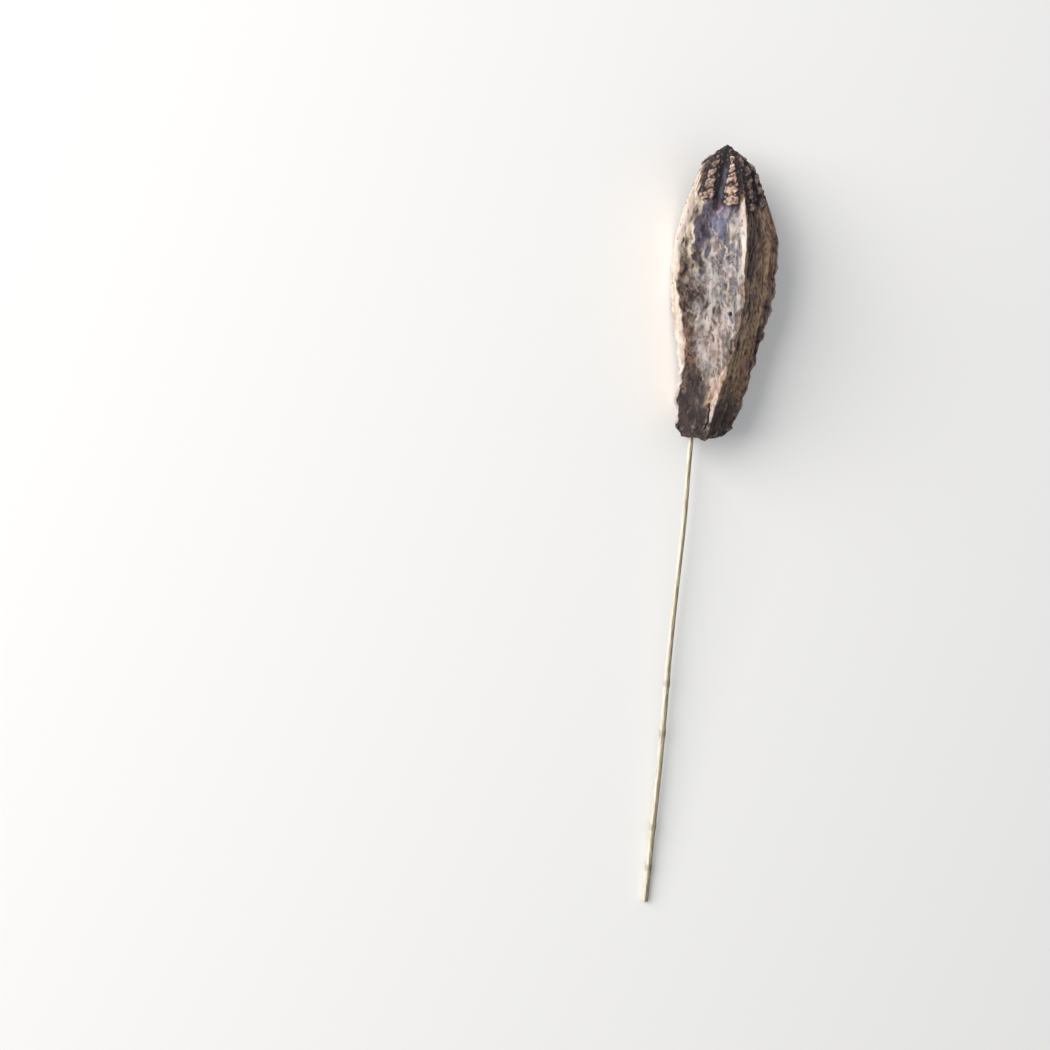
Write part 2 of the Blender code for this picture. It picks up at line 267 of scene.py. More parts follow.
def pads(face, across, along):
    """Height of the seed scars' pads, and how much of a pad, the panel and the furrow is here."""
    panel_end = PANEL_ENDS[face]
    side = np.where(across < 0.5, -1.0, 1.0)
    spread = PAD_SPREAD * (1 - ramp(along, *PAD_SPREAD_ENDS))
    off_middle = np.abs(across - 0.5) - PAD_FROM_MIDDLE - spread
    stagger = PAD_STAGGER * np.sin(PAD_STAGGER_PHASE * face + side) * ramp(along, *PAD_STAGGER_GROWS)
    place = (along / panel_end) ** PAD_CROWDING * PADS_IN_ROW + stagger
    rounding = PAD_ROUNDING * (off_middle / PAD_HALF_WIDTH) ** 2
    in_panel = 1 - ramp(place + rounding - PADS_IN_ROW, *PANEL_END_EDGE)
    warp = PAD_WARP * np.sin(PAD_WARP_TURNS[0] * across + PAD_WARP_TURNS[1] * place)
    warped = place + PAD_SLANT * side * off_middle + warp
    by_pad, by_side = PAD_UNEVEN_PHASES
    uneven = np.sin(by_pad * np.floor(warped) + by_side * side + face)
    fullness = 1 - PAD_UNEVENNESS + PAD_UNEVENNESS * uneven
    lens = np.abs(np.sin(math.pi * warped)) ** PAD_BLUNTNESS
    sideways = np.sqrt(np.clip(1 - (off_middle / PAD_HALF_WIDTH / fullness) ** 2, 0.0, 1.0))
    plate = ramp(np.minimum(across, 1 - across), *PANEL_SIDE_EDGE)
    furrow = bump(across, 0.5, FURROW_WIDTH) * (1 - ramp(along, panel_end, panel_end + FURROW_FADE))
    size = ramp(along, *PADS_GROW)
    raised = in_panel * size * (PANEL_THICKNESS * plate + PAD_HEIGHT * lens * sideways)
    return raised - FURROW_DEPTH * furrow * size, in_panel * lens * sideways, in_panel, furrow


def smooth_side(face, across, along):
    """The part of one panel where the pads have worn away."""
    start = SMOOTH_FROM - SMOOTH_WIDENING * ramp(along, *SMOOTH_WIDENS)
    worn_side = ramp(across, start, start + SMOOTH_FADE) * ramp(along, *SMOOTH_GROWS)
    return (face == SMOOTH_FACE) * worn_side


def chord_length(face, along):
    """How wide a face is between its two crests."""
    span = crest((face + 1) % FACES, along) - crest(face, along)
    return np.maximum(np.linalg.norm(span, axis=-1), 1e-6)


def face_point(face, across, along):
    """The surface's (y, z) from the axis, on a face between two ribs."""
    left, right = crest(face, along), crest((face + 1) % FACES, along)
    chord = right - left
    length = chord_length(face, along)
    outward = np.stack([-chord[..., 1], chord[..., 0]], axis=-1) / length[..., None]
    edge = np.minimum(CREST_HALF_WIDTH / length, CREST_LARGEST_SHARE)
    bed = np.clip((across - edge) / (1 - 2 * edge), 0.0, 1.0)
    hollow = RIB_REACH * smooth_curve(REACH_PROFILE, along) * smooth_curve(HOLLOW_PROFILE, along)
    ridge = MIDDLE_RIDGE * bump(across, 0.5, MIDDLE_RIDGE_WIDTH) * ramp(along, *MIDDLE_RIDGE_GROWS)
    depth = hollow * (4 * bed * (1 - bed)) ** HOLLOW_POWERS[face] - ridge
    raised = pads(face, across, along)[0] * (1 - SMOOTH_WEAR * smooth_side(face, across, along))
    smooth = left + chord * across[..., None] + outward * (raised - depth)[..., None]
    for rib, on_rib, from_rib in ((face, left, across), ((face + 1) % FACES, right, 1 - across)):
        reach = np.maximum(np.linalg.norm(on_rib, axis=-1), 1e-6)
        share = scallop(rib, along) * bump(from_rib * length, 0.0, SCALLOP_WIDTH) / reach
        smooth = smooth + on_rib * share[..., None]
    return smooth


# The sphere's rings run from the apex down the sides, in over the base, and into the socket
columns = FACES * COLUMNS_PER_FACE
rings = SIDE_RINGS + END_RINGS + WALL_RINGS + BOTTOM_RINGS
pod_shape = bmesh.new()
bmesh.ops.create_uvsphere(pod_shape, u_segments=columns, v_segments=rings, radius=1.0)
ball = np.array([vertex.co for vertex in pod_shape.verts])
ring = np.rint(np.arccos(np.clip(ball[:, 2], -1.0, 1.0)) / math.pi * rings).astype(int)
column = np.rint(np.arctan2(ball[:, 1], ball[:, 0]) / math.tau * columns).astype(int) % columns

face = column // COLUMNS_PER_FACE
column_share = column % COLUMNS_PER_FACE / COLUMNS_PER_FACE
across = column_share - COLUMN_CROWDING * np.sin(math.tau * column_share) / math.tau
ring_share = np.clip(ring / SIDE_RINGS, 0.0, 1.0)
on_panel = PANEL_REACH * ring_share / PANEL_RING_SHARE
below_share = (ring_share - PANEL_RING_SHARE) / (1 - PANEL_RING_SHARE)
below_panel = PANEL_REACH + (1 - PANEL_REACH) * below_share
along = np.where(ring_share < PANEL_RING_SHARE, on_panel, below_panel)

end_share = 1 - np.clip((ring - SIDE_RINGS) / END_RINGS, 0.0, 1.0)
wall_share = np.clip((ring - SIDE_RINGS - END_RINGS) / WALL_RINGS, 0.0, 1.0)
bottom_share = 1 - np.clip((ring - SIDE_RINGS - END_RINGS - WALL_RINGS) / BOTTOM_RINGS, 0.0, 1.0)
socket = SOCKET_FROM_AXIS * np.array([math.sin(SOCKET_TURN), math.cos(SOCKET_TURN)])
outline = axis_shift(along) + face_point(face, across, along)
from_socket = outline - socket
ray = from_socket / np.maximum(np.linalg.norm(from_socket, axis=-1), 1e-6)[:, None]
mouth = ray * (TWIG_RADIUS_AT_POD + GAP) * bottom_share[:, None]
over_end = socket + from_socket * end_share[:, None] + mouth * (1 - end_share)[:, None]
pod_yz = np.where((ring > SIDE_RINGS)[:, None], over_end, outline)

spur = BASE_SPURS[face] * (1 - across) ** SPUR_SHARPNESS
spur = spur + BASE_SPURS[(face + 1) % FACES] * across**SPUR_SHARPNESS
push = smooth_curve(BASE_FACE_PUSHES, end_share) * (ring > SIDE_RINGS)
pod_x = POD_LENGTH * along + push + spur * ramp(along, *SPURS_GROW) * end_share
pod_x = pod_x - wall_share * (SOCKET_DEPTH + BASE_FACE_PUSHES[0][1])

# The pod lies tilted on its two worn lower ribs and the twig's tip, as its frame does
worn = np.full(len(LOWER_RIBS), WORN_AT)
foot_drop = -(crest(np.array(LOWER_RIBS), worn) + axis_shift(worn))[:, 1].mean() - WEAR
tip_drop = TWIG_RADIUS_AT_TIP - socket[1] - TWIG_BEND * math.cos(SOCKET_TURN)
tip_from_feet = POD_LENGTH + TWIG_LENGTH_SHOWN - POD_LENGTH * WORN_AT
tilt = math.atan2(foot_drop - tip_drop, tip_from_feet)
axis_down = Vector((math.cos(tilt), 0.0, -math.sin(tilt)))
axis_up = Vector((math.sin(tilt), 0.0, math.cos(tilt)))
apex_height = foot_drop * math.cos(tilt) + POD_LENGTH * WORN_AT * math.sin(tilt)
middle_y = (pod_low.y + pod_high.y - pod_yz[:, 0].min() - pod_yz[:, 0].max()) / 2
apex = Vector((pod_low.x, middle_y, apex_height))


def lie_down(x, y, z):
    """Moves points from the pod's own axes to the table, as rows of x, y and z."""
    lying = np.array(apex) + np.outer(x, axis_down) + np.outer(z, axis_up)
    lying[:, 1] += y
    return lying


# Where the finish changes. Face 4 lies towards the camera, 0 to its right and 3 to its left.
# Each mark is a face, its middle across and along, its half width and half length, and strength
MARKS = {
    "cream": (
        (3, 0.87, 0.5, 0.31, 2.0, 1.2), (3, 0.08, 0.5, 0.26, 2.0, 1.2),
        (4, 0.08, 0.25, 0.18, 0.12, 1.1), (4, 0.93, 0.27, 0.05, 0.09, 0.8),
        (4, 0.20, 0.34, 0.12, 0.05, 0.8), (1, 0.1, 0.3, 0.12, 0.1, 0.8), (2, 0.9, 0.3, 0.12, 0.1, 0.8),
    ),
    "grey": (
        (4, 0.60, 0.56, 0.43, 0.25, 1.1), (4, 0.76, 0.34, 0.22, 0.14, 1.0),
        (4, 0.26, 0.40, 0.12, 0.04, 0.6), (1, 0.5, 0.55, 0.25, 0.2, 0.7),
        (2, 0.45, 0.50, 0.30, 0.2, 0.7), (3, 0.44, 0.48, 0.14, 0.20, 0.8),
    ),
    "olive": (
        (4, 0.14, 0.235, 0.10, 0.04, 0.85), (4, 0.75, 0.50, 0.10, 0.05, 0.5),
        (4, 0.76, 0.33, 0.07, 0.06, 0.75), (4, 0.09, 0.375, 0.08, 0.055, 0.95),
        (4, 0.22, 0.60, 0.10, 0.030, 0.8), (2, 0.7, 0.4, 0.2, 0.1, 0.7), (1, 0.3, 0.45, 0.1, 0.1, 0.6),
    ),
    "orange": (
        (4, 0.12, 0.66, 0.20, 0.13, 1.2), (4, 0.06, 0.50, 0.10, 0.09, 0.9),
        (4, 0.32, 0.49, 0.20, 0.06, 0.85), (4, 0.55, 0.75, 0.16, 0.05, 0.6),
        (1, 0.8, 0.6, 0.2, 0.2, 0.8), (2, 0.15, 0.7, 0.2, 0.2, 0.8), (0, 0.8, 0.75, 0.15, 0.12, 0.7),
        (3, 0.48, 0.72, 0.14, 0.14, 0.8), (3, 0.8, 0.05, 0.5, 0.09, 1.1),
        (4, 0.0, 0.11, 0.08, 0.05, 1.0),
    ),
    "brown": (
        (4, 0.24, 0.93, 0.44, 0.16, 1.3), (4, 0.62, 0.98, 0.38, 0.09, 1.3),
        (0, 0.5, 1.10, 0.9, 0.30, 0.85), (1, 0.5, 1.0, 0.7, 0.12, 1.0), (2, 0.4, 1.0, 0.6, 0.13, 1.0),
        (3, 0.2, 1.0, 0.3, 0.08, 0.8), (3, 0.8, 1.0, 0.5, 0.04, 1.2),
    ),
    "pale": (
        (4, 0.68, 0.82, 0.15, 0.06, 0.40), (4, 0.90, 0.82, 0.045, 0.08, 1.2),
        (4, 0.96, 0.915, 0.05, 0.025, 1.3), (4, 0.95, 0.975, 0.04, 0.012, 1.2),
        (4, 0.62, 0.66, 0.28, 0.10, 0.5), (1, 0.2, 0.35, 0.12, 0.1, 0.8),
    ),
    "slate": (
        (4, 0.57, 0.255, 0.15, 0.095, 0.95), (4, 0.33, 0.27, 0.13, 0.095, 0.9),
        (4, 0.76, 0.35, 0.06, 0.05, 0.6), (4, 0.86, 0.585, 0.025, 0.008, 0.9),
        (1, 0.36, 0.24, 0.12, 0.08, 0.9), (1, 0.63, 0.27, 0.11, 0.11, 0.8),
        (2, 0.50, 0.25, 0.17, 0.10, 0.9), (3, 0.43, 0.25, 0.09, 0.08, 0.8),
    ),
    "plum": (
        (4, 0.31, 0.285, 0.11, 0.09, 1.0), (4, 0.385, 0.225, 0.025, 0.030, 1.6),
        (4, 0.44, 0.205, 0.06, 0.035, 1.1), (4, 0.82, 0.43, 0.07, 0.08, 0.5),
        (4, 0.58, 0.385, 0.10, 0.035, 0.55), (4, 0.79, 0.207, 0.08, 0.028, 1.1),
        (4, 0.60, 0.20, 0.06, 0.03, 0.7), (4, 0.44, 0.36, 0.05, 0.03, 0.7),
        (1, 0.38, 0.22, 0.10, 0.06, 0.9), (2, 0.42, 0.23, 0.08, 0.07, 0.9),
    ),
    "lilac": (
        (4, 0.50, 0.213, 0.040, 0.020, 1.1), (4, 0.41, 0.262, 0.020, 0.010, 0.9),
        (1, 0.45, 0.25, 0.05, 0.02, 0.9), (2, 0.52, 0.24, 0.05, 0.02, 0.9),
    ),
    "flecked": (
        (4, 0.66, 0.38, 0.28, 0.13, 1.1), (4, 0.84, 0.50, 0.12, 0.08, 0.7),
        (4, 0.25, 0.47, 0.18, 0.08, 0.45), (1, 0.5, 0.45, 0.25, 0.15, 0.9),
        (2, 0.45, 0.40, 0.25, 0.15, 0.9), (3, 0.44, 0.40, 0.14, 0.10, 0.8),
    ),
    "umber": (
        (0, 0.42, 0.27, 0.20, 0.11, 1.3), (0, 0.46, 0.39, 0.12, 0.07, 1.1),
        (0, 0.50, 0.53, 0.10, 0.05, 0.8), (1, 0.5, 0.32, 0.2, 0.09, 0.8), (2, 0.3, 0.5, 0.12, 0.1, 0.7),
        (4, 0.10, 0.80, 0.12, 0.06, 0.8), (4, 0.985, 0.60, 0.06, 0.17, 1.05),
        (3, 0.8, 0.0, 0.5, 0.10, 1.1), (4, 0.0, 0.04, 0.10, 0.06, 1.1),
        # This mark is partly brown and partly painted shade, along the shaded outer rib between faces 0 and
        # 1
        (0, 0.97, 0.62, 0.10, 0.36, 0.9),
    ),
    "dark": (
        # The second mark on the next line is a painted shadow, the dark line beside the rib on face 4's left
        # edge
        (4, 0.30, 0.390, 0.07, 0.035, 1.1), (4, 0.02, 0.475, 0.045, 0.035, 1.6),
        # The first mark on the next line is a painted shadow beside the same rib
        (4, 0.035, 0.345, 0.03, 0.045, 0.9), (4, 0.70, 0.73, 0.035, 0.010, 0.8),
        (4, 0.24, 0.50, 0.20, 0.05, 0.75), (4, 0.56, 0.575, 0.025, 0.045, 0.6),
        # The first mark on the next line is a painted shadow, a black line left of the pale crest strip near
        # the base
        (4, 0.885, 0.925, 0.03, 0.030, 1.8), (4, 0.33, 0.42, 0.06, 0.02, 0.8),
        (4, 0.12, 0.555, 0.05, 0.02, 0.8), (4, 0.42, 0.54, 0.05, 0.02, 0.7),
        (4, 0.10, 0.42, 0.04, 0.03, 0.9), (0, 0.50, 0.56, 0.06, 0.035, 0.7),
        (0, 0.35, 0.67, 0.06, 0.035, 0.6), (0, 0.24, 0.225, 0.05, 0.03, 0.9),
        # The first mark on the next line is partly a crack and partly a painted shadow, beside the rib
        # between faces 4 and 0
        (0, 0.035, 0.54, 0.022, 0.34, 1.4), (0, 0.97, 0.3, 0.03, 0.2, 0.6),
        (1, 0.55, 0.40, 0.06, 0.08, 0.8), (1, 0.3, 0.6, 0.05, 0.06, 0.8),
        (2, 0.6, 0.55, 0.06, 0.07, 0.8), (2, 0.25, 0.4, 0.05, 0.06, 0.8),
        (3, 0.42, 0.56, 0.06, 0.05, 0.7),
    ),
    "wrinkled": (
        (4, 0.24, 0.50, 0.24, 0.07, 1.1), (4, 0.35, 0.28, 0.16, 0.08, 0.6),
        (4, 0.7, 0.46, 0.2, 0.06, 0.5), (1, 0.4, 0.5, 0.2, 0.1, 0.7), (2, 0.6, 0.6, 0.2, 0.1, 0.7),
    ),
}
MARK_EDGE = 1.5
# Waves in the marks' edges: height, turns along and across, and change from face to face
WAVES_ACROSS = ((0.03, 61, 0, 1), (0.015, 143, 9, 0))
WAVES_ALONG = ((0.008, 40, 23, 1),)
FRONT_FACE = 4
STAIN_SHARES = np.array((0.35, 0.50, 0.50, 0.10, 0.20))
STAIN_FROM_CREST = (0.0010, 0.0035)
STAIN_THINS = (0.6, 0.9)
EDGE_REACH = (0.0003, 0.0022)
CREST_STARTS = np.array((0.145, 0.20, 0.15, 0.13, 0.085))
CREST_START_FADE = 0.045
CREST_WIDTHS = np.array((0.0004, 0.0009, 0.0009, 0.0014, 0.0011))
CREST_FADE = (0.4, 1.8)
CREST_PALENESS = np.array((1.0, 0.15, 0.8, 0.8, 0.95))
TOP_CREST_PALENESS = (
    (0.0, 1.0), (0.34, 1.0), (0.42, 0.7), (0.49, 0.0), (0.56, -0.2), (0.74, -0.2), (0.80, 0.2),
    (0.86, 0.3), (0.895, 1.0), (0.93, 0.9), (0.955, 0.0), (0.975, 0.4), (0.99, -0.2), (1.0, -0.3),
)
NARROW_CREST_SHARE = 0.3
NARROW_CREST_ENDS = (0.17, 0.22)
BROAD_CREST_AT = 0.26
BROAD_CREST_LENGTH = 0.10
BROAD_CREST_GAIN = 1.2
BROAD_CREST_GROWS = (0.15, 0.21)
LOW_CREST_AT = 0.915
LOW_CREST_LENGTH = 0.03
LOW_CREST_GAIN = 0.8
CREST_BREAK_AT = 0.485
CREST_BREAK_LENGTH = 0.025
CREST_BREAK = 0.9
LAST_CREST_ENDS = (0.955, 0.975)
HOLE_AT = (0.80, 0.567)
HOLE_RADIUS = 0.0010
HOLE_EDGE = (0.5, 1.2)
SLIT_ACROSS = 0.862
SLIT_WIDTH = 0.020
SLIT_RUN = (0.873, 0.885, 0.965, 0.977)
PLATE_EDGE = (0.03, 0.12)
PLATE_END_FADE = 0.04
BLOOM_ACROSS = 0.545
BLOOM_WIDTH = 0.04
BLOOM_RUN = (0.06, 0.09, 0.17, 0.20)
SCAR_SHARES = np.array((0.85, 1.0, 1.0, 1.0, 1.25))
SCARS_FROM = (0.012, 0.03)
WORN_SCARS_AT = 0.03
WORN_SCARS_LENGTH = 0.05
SCAR_WEAR = 0.45
SCAR_PALENESS = np.array((0.4, 0.85, 0.8, 0.9, 1.0))
LEFT_SCAR_SHARE = 0.70
APEX_SCAR_SHARE = 0.15
APEX_SCARS_FROM = 0.02
APEX_SCARS_TO = {"left": 0.14, "right": 0.04}
LIGHT_SCARS_AT = 0.05
LIGHT_SCARS_LENGTH = 0.03
LIGHT_SCARS_GAIN = 0.9
CUT_END_FROM = (0.985, 1.0)
LOOSE_END = (0.1, 0.35)

scar, in_panel, furrow = pads(face, across, along)[1:]
rib_here = np.where(across < 0.5, face, face + 1) % FACES
from_edge = np.minimum(across, 1 - across)
from_crest = from_edge * chord_length(face, along)
side = ring <= SIDE_RINGS
front_left = (face == FRONT_FACE) * (across < 0.5)
front_right = (face == FRONT_FACE) * (across > 0.5)
worn_side = smooth_side(face, across, along)


def waved(waves):
    """An uneven push on the marks' edges."""
    return sum(
        height * np.sin(along * by_length + across * by_width + face * by_face)
        for height, by_length, by_width, by_face in waves
    )


uneven_across = across + waved(WAVES_ACROSS)
uneven_along = along + waved(WAVES_ALONG)


def marked(name):
    """The strength of one kind of mark at each point, 0.5 at the mark's edge."""
    total = np.zeros(len(face))
    for where, middle, middle_along, half_width, half_length, strength in MARKS[name]:
        off_across = (uneven_across - middle) / half_width
        off_along = (uneven_along - middle_along) / half_length
        inside = np.clip(MARK_EDGE - np.hypot(off_across, off_along), 0.0, 1.0)
        total = np.maximum(total, strength * inside * (face == where))
    return total * side


def between(at, start, full, fading, end):
    """1 from `full` to `fading`, 0 before `start` and after `end`, and smooth between them."""
    return ramp(at, start, full) * (1 - ramp(at, fading, end))


crest_start = CREST_STARTS[rib_here]
top_paleness = np.where(rib_here == 0, np.interp(along, *zip(*TOP_CREST_PALENESS)), 1.0)
broad = BROAD_CREST_GAIN * bump(along, BROAD_CREST_AT, BROAD_CREST_LENGTH)
broad = broad * ramp(along, *BROAD_CREST_GROWS)
narrow = NARROW_CREST_SHARE + (1 - NARROW_CREST_SHARE) * ramp(along, *NARROW_CREST_ENDS)
low_crest = LOW_CREST_GAIN * bump(along, LOW_CREST_AT, LOW_CREST_LENGTH) * (rib_here == 0)
crest_width = CREST_WIDTHS[face] * np.where(face == FRONT_FACE, narrow + broad, 1.0)
crest_width = crest_width * (1 + low_crest)
pale_crest = ramp(along, crest_start, crest_start + CREST_START_FADE)
pale_crest = pale_crest * CREST_PALENESS[rib_here] * top_paleness
pale_crest = pale_crest * (1 - ramp(from_crest / crest_width, *CREST_FADE))
crest_break = CREST_BREAK * bump(along, CREST_BREAK_AT, CREST_BREAK_LENGTH) * front_left
pale_crest = pale_crest * (1 - crest_break)
pale_crest = pale_crest * (1 - ramp(along, *LAST_CREST_ENDS) * (rib_here == FRONT_FACE))

hole_across = (across - HOLE_AT[0]) * chord_length(FRONT_FACE, along)
off_hole = np.hypot(hole_across, (along - HOLE_AT[1]) * POD_LENGTH)
hole = 1 - ramp(off_hole / HOLE_RADIUS, *HOLE_EDGE)
slit = bump(uneven_across, SLIT_ACROSS, SLIT_WIDTH) * between(along, *SLIT_RUN)
under_crest = 1 - ramp(along, crest_start, crest_start + PLATE_END_FADE)
panel = in_panel * np.maximum(ramp(from_edge, *PLATE_EDGE), under_crest)

scars_left = 1 - SCAR_WEAR * bump(along, WORN_SCARS_AT, WORN_SCARS_LENGTH) * front_left
scars_here = SCAR_SHARES[face] * side * (1 - worn_side) * ramp(along, *SCARS_FROM)
pale_by = np.where(across > 0.5, APEX_SCARS_TO["right"], APEX_SCARS_TO["left"])
from_apex = APEX_SCAR_SHARE + (1 - APEX_SCAR_SHARE) * ramp(along, APEX_SCARS_FROM, pale_by)
light_scars = LIGHT_SCARS_GAIN * bump(along, LIGHT_SCARS_AT, LIGHT_SCARS_LENGTH) * front_right
scar_paleness = SCAR_PALENESS[face] * np.where(across < 0.5, LEFT_SCAR_SHARE, 1.0)
scar_paleness = scar_paleness * from_apex * (1 + light_scars)

bloom = bump(uneven_across, BLOOM_ACROSS, BLOOM_WIDTH) * between(along, *BLOOM_RUN)
stain = STAIN_SHARES[face] * (1 - ramp(along, *STAIN_THINS) / 2)
pod_fields = {name: marked(name) for name in MARKS}
pod_fields |= {
    "scar": scar * scars_left * scars_here,
    "scar_paleness": scar_paleness,
    "panel": panel * side * (1 - worn_side),
    "hole": np.maximum(hole, slit) * (face == FRONT_FACE) * side,
    "furrow": furrow * side,
    "bloom": bloom * side,
    "stain": stain * ramp(from_crest, *STAIN_FROM_CREST) * side,
    "crest": pale_crest * side,
    "edge": (1 - ramp(from_crest, *EDGE_REACH)) * side,
    "cut_end": np.where(side, ramp(along, *CUT_END_FROM), 1.0),
    "in_socket": (ring > SIDE_RINGS + END_RINGS).astype(float),
    "loose": np.where(side, 1.0, np.interp(end_share, LOOSE_END, (0.0, 1.0))),
}


def add_field(mesh, name, values):
    """Writes one number for each of a mesh's points, for the node trees to read."""
    attribute = mesh.attributes.new(name, "FLOAT", "POINT")
    attribute.data.foreach_set("value", values.astype(np.float32))


for vertex, place in zip(pod_shape.verts, lie_down(pod_x, pod_yz[:, 0], pod_yz[:, 1])):
    vertex.co = place
pod_mesh = bpy.data.meshes.new("pod skin")
pod_shape.to_mesh(pod_mesh)
pod_shape.free()
for name, values in pod_fields.items():
    add_field(pod_mesh, name, values)
pod = new_object("pod_skin", pod_mesh)


def feed(tree, socket, value):
    """Links a node's output to a socket, or sets the socket's own value."""
    if isinstance(value, bpy.types.NodeSocket):
        tree.links.new(value, socket)
    else:
        socket.default_value = value


def node(tree, kind, inputs, **settings):
    """Adds a node, with its settings and its inputs by name or number. Returns the node."""
    made = tree.nodes.new(kind)
    for name, value in settings.items():
        setattr(made, name, value)
    for key, value in inputs.items():
        feed(tree, made.inputs[key], value)
    return made


def sum_up(tree, operation, *values):
    """Arithmetic on one to three numbers."""
    return node(tree, "ShaderNodeMath", dict(enumerate(values)), operation=operation).outputs[0]


def sharpen(tree, value, low, high, start=0.0, end=1.0):
    """Turns a value between low and high into a smooth step from start to end."""
    inputs = {0: value, 1: low, 2: high, 3: start, 4: end}
    return node(tree, "ShaderNodeMapRange", inputs, interpolation_type="SMOOTHSTEP").outputs[0]


def stretch(tree, place, x, y, z):
    """Scales coordinates, so that a pattern read there is longer along some of them."""
    inputs = {0: place, 1: (x, y, z)}
    return node(tree, "ShaderNodeVectorMath", inputs, operation="MULTIPLY").outputs[0]


def noise(tree, place, size, detail=3.0, roughness=0.55, distortion=0.0):
    """Noise whose lumps are about `size` metres across, from 0 to 1."""
    inputs = {
        "Vector": place, "Scale": 1 / size, "Detail": detail, "Roughness": roughness,
        "Distortion": distortion,
    }
    return node(tree, "ShaderNodeTexNoise", inputs).outputs["Fac"]


def crumble(tree, place, size):
    """Rounded crumbs about `size` metres across: the distance from each middle, and its own shade."""
    unevenness = node(tree, "ShaderNodeTexNoise", {"Vector": place, "Scale": 1 / size}).outputs["Color"]
    inputs = {0: unevenness, 1: (size, size, size), 2: place}
    uneven = node(tree, "ShaderNodeVectorMath", inputs, operation="MULTIPLY_ADD").outputs[0]
    cells = node(tree, "ShaderNodeTexVoronoi", {"Vector": uneven, "Scale": 1 / size})
    return cells.outputs["Distance"], cells.outputs["Color"]


def geometry_tree(name, sizes):
    """An empty geometry tree with a named input for each size. Returns it and its end nodes."""
    tree = bpy.data.node_groups.new(name, "GeometryNodeTree")
    tree.interface.new_socket("Geometry", in_out="INPUT", socket_type="NodeSocketGeometry")
    tree.interface.new_socket("Geometry", in_out="OUTPUT", socket_type="NodeSocketGeometry")
    for size in sizes:
        tree.interface.new_socket(size, in_out="INPUT", socket_type="NodeSocketFloat")
    return tree, tree.nodes.new("NodeGroupInput"), tree.nodes.new("NodeGroupOutput")


def apply_tree(piece, tree, sizes):
    """Runs a geometry tree on a piece with these sizes, and keeps the result as a plain mesh."""
    modifier = piece.modifiers.new(tree.name, "NODES")
    modifier.node_group = tree
    for item in tree.interface.items_tree:
        if item.name in sizes:
            modifier[item.identifier] = sizes[item.name]
    graph = bpy.context.evaluated_depsgraph_get()
    made = bpy.data.meshes.new_from_object(piece.evaluated_get(graph))
    piece.modifiers.clear()
    return made


def finish_tree(tree, geometry, material, group_out):
    """Ends a geometry tree with real geometry in one material."""
    real = node(tree, "GeometryNodeRealizeInstances", {0: geometry}).outputs[0]
    painted = node(tree, "GeometryNodeSetMaterial", {"Geometry": real, "Material": material})
    tree.links.new(painted.outputs[0], group_out.inputs[0])


def field(tree, name):
    """One of the piece's own fields, read in a geometry tree."""
    return node(tree, "GeometryNodeInputNamedAttribute", {"Name": name}, data_type="FLOAT").outputs[0]


pod_finish, pod_paint, pod_shader = new_material("dry mahogany pod")

# The skin's relief: long ropes and knobs, fine fibres, pits, chipped crests, crumbling scars,
# slanting wrinkles and the rough cut end
RELIEF = {
    "Rope height": 0.0009, "Knob height": 0.0015, "Fibre height": 0.00014, "Pit depth": 0.0007,
    "Crest chip depth": 0.0006, "Scar crumb height": 0.0011, "Wrinkle height": 0.0026,
    "Cut end grain": 0.0009, "Hole depth": 0.0012,
}
SCAR_CRUMB = 0.0018
SCAR_CRUMB_REACH = 0.45
WRINKLE_SLANT = 0.7
WRINKLE_SQUEEZE = 0.45
WRINKLE_NOISE = (0.0046, 1.0, 0.5, 0.6)
WRINKLE_HALF_WIDTH = 0.10
PIT_EDGE = (0.60, 0.72)
# How much of the relief each of these fields takes away
SMOOTHED_BY = {"panel": 1.0, "slate": 0.25, "edge": 0.5, "furrow": 0.8}
# How far each is squeezed along the pod to draw it out, its size, detail, roughness, distortion
RELIEF_PATTERNS = {
    "ropes": (0.14, 0.0030, 2.0, 0.45, 0.5),
    "knobs": (0.6, 0.0036, 2.0, 0.5, 0.3),
    "fibres": (0.14, 0.0009, 2.0, 0.55, 0.0),
    "pits": (0.5, 0.0022, 2.0, 0.55, 0.0),
    "chips": (1.0, 0.0021, 3.0, 0.6, 0.0),
    "rough end": (1.0, 0.0016, 4.0, 0.7, 0.0),
}
relief, relief_in, relief_out = geometry_tree("Pod relief", RELIEF)
size = relief_in.outputs
place = node(relief, "GeometryNodeInputPosition", {}).outputs[0]
slanted = node(
    relief, "ShaderNodeVectorRotate", {"Vector": place, "Angle": WRINKLE_SLANT}, rotation_type="Z_AXIS"
).outputs[0]
slanted = stretch(relief, slanted, 1.0, WRINKLE_SQUEEZE, 1.0)


def patterns(tree, place, table):
    """The noise for each row of a table of patterns."""
    return {
        name: noise(tree, stretch(tree, place, squeeze, 1.0, 1.0), *settings)
        for name, (squeeze, *settings) in table.items()
    }


def centred(value):
    """Moves noise to around 0."""
    return sum_up(relief, "SUBTRACT", value, 0.5)


def without(name):
    """A mask that lowers relief where a field is strong."""
    return sum_up(relief, "MULTIPLY_ADD", field(relief, name), -SMOOTHED_BY[name], 1.0)


